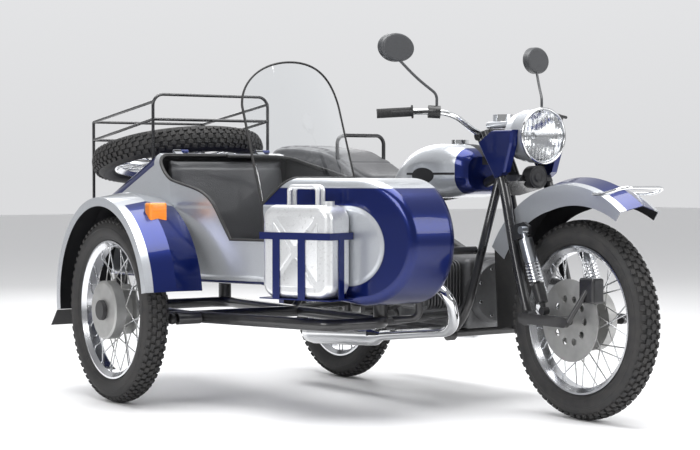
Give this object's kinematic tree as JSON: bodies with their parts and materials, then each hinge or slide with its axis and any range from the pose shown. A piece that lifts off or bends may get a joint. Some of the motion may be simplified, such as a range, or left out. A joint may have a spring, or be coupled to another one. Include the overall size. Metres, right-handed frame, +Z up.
{
  "type": "sidecar motorcycle",
  "caption": "Three-wheeled motorcycle with a flat twin engine, leading-link fork and a passenger sidecar with windscreen, spare wheel, rack and fuel can.",
  "frame": {"origin": "middle of the box round the whole machine, at the level of the ground", "axes": "+X forwards along the motorcycle, +Y to its left, +Z up; the sidecar is on the -Y side"},
  "size_m": [2.3321, 1.6551, 1.349],
  "materials": {
    "black_frame": "gloss black",
    "cast_alloy": "cast",
    "fin_alloy": "cast and machined",
    "dull_alloy": "cast",
    "chrome_pipe": "polished",
    "silver_paint": "metallic silver",
    "seat_vinyl": "grained",
    "shock_steel": "chrome and black",
    "blue_paint": "metallic blue",
    "red_lens": "clear red",
    "black_plastic": "satin",
    "clear_lens": "fluted",
    "chrome_bar": "polished",
    "flap_rubber": "matt",
    "tyre_rubber": "matt",
    "wheel_alloy": "polished rim and cast hub",
    "clear_screen": "clear",
    "amber_lens": "amber and clear",
    "can_metal": "metallic silver"
  },
  "bodies": {
    "machine": {"frame": "black_frame", "engine_block": "cast_alloy", "cylinders": "fin_alloy", "carburettors": "dull_alloy", "exhausts": "chrome_pipe", "fuel_tank": "silver_paint", "bench_seat": "seat_vinyl", "seat_grab_handle": "black_frame", "rear_drive": "black_frame", "rear_shocks": "shock_steel", "rear_fender": "blue_paint", "tail_lamp": "red_lens", "side_boxes": "black_plastic", "foot_controls": "black_frame", "sidecar_chassis": "black_frame", "sidecar_suspension": "black_frame", "sidecar_body": "blue_paint", "sidecar_seat": "seat_vinyl", "windshield": "clear_screen", "sidecar_fender": "silver_paint", "fender_lamps": "amber_lens", "sidecar_mud_flap": "flap_rubber", "jerry_can": "can_metal", "can_bracket": "blue_paint"},
    "steering": {"fork": "black_frame", "fork_covers": "blue_paint", "headlight": "silver_paint", "headlight_lens": "clear_lens", "handlebar": "chrome_bar", "hand_controls": "black_plastic", "mirrors": "black_plastic", "front_fender": "silver_paint", "fender_bumper": "chrome_bar", "front_mud_flap": "flap_rubber", "link_arms": "black_frame", "front_shocks": "shock_steel"},
    "front_roller": {"front_tyre": "tyre_rubber", "front_wheel": "wheel_alloy"},
    "rear_roller": {"rear_tyre": "tyre_rubber", "rear_wheel": "wheel_alloy"},
    "sidecar_roller": {"sidecar_tyre": "tyre_rubber", "sidecar_wheel": "wheel_alloy"},
    "boot_lid": {"trunk_lid": "silver_paint", "spare_tyre": "tyre_rubber", "spare_wheel": "wheel_alloy", "luggage_rack": "black_frame"}
  },
  "joints": [
    {"name": "steering_turn", "type": "hinge", "parent": "machine", "child": "steering", "pos_m": [0.41232, 0.38845, 0.87462], "axis": [-0.4848, 0, 0.8746], "range_deg": [-35, 35]},
    {"name": "front_wheel_spin", "type": "hinge", "parent": "steering", "child": "front_roller", "pos_m": [0.82213, 0.38845, 0.344], "axis": [0, 1, 0], "continuous": true},
    {"name": "rear_wheel_spin", "type": "hinge", "parent": "machine", "child": "rear_roller", "pos_m": [-0.67787, 0.38845, 0.344], "axis": [0, 1, 0], "continuous": true},
    {"name": "sidecar_wheel_spin", "type": "hinge", "parent": "machine", "child": "sidecar_roller", "pos_m": [-0.47287, -0.75155, 0.344], "axis": [0, 1, 0], "continuous": true},
    {"name": "trunk_lid_hinge", "type": "hinge", "parent": "machine", "child": "boot_lid", "pos_m": [-0.46587, -0.31255, 0.9323], "axis": [0, 1, 0], "range_deg": [0, 70]}
  ]
}
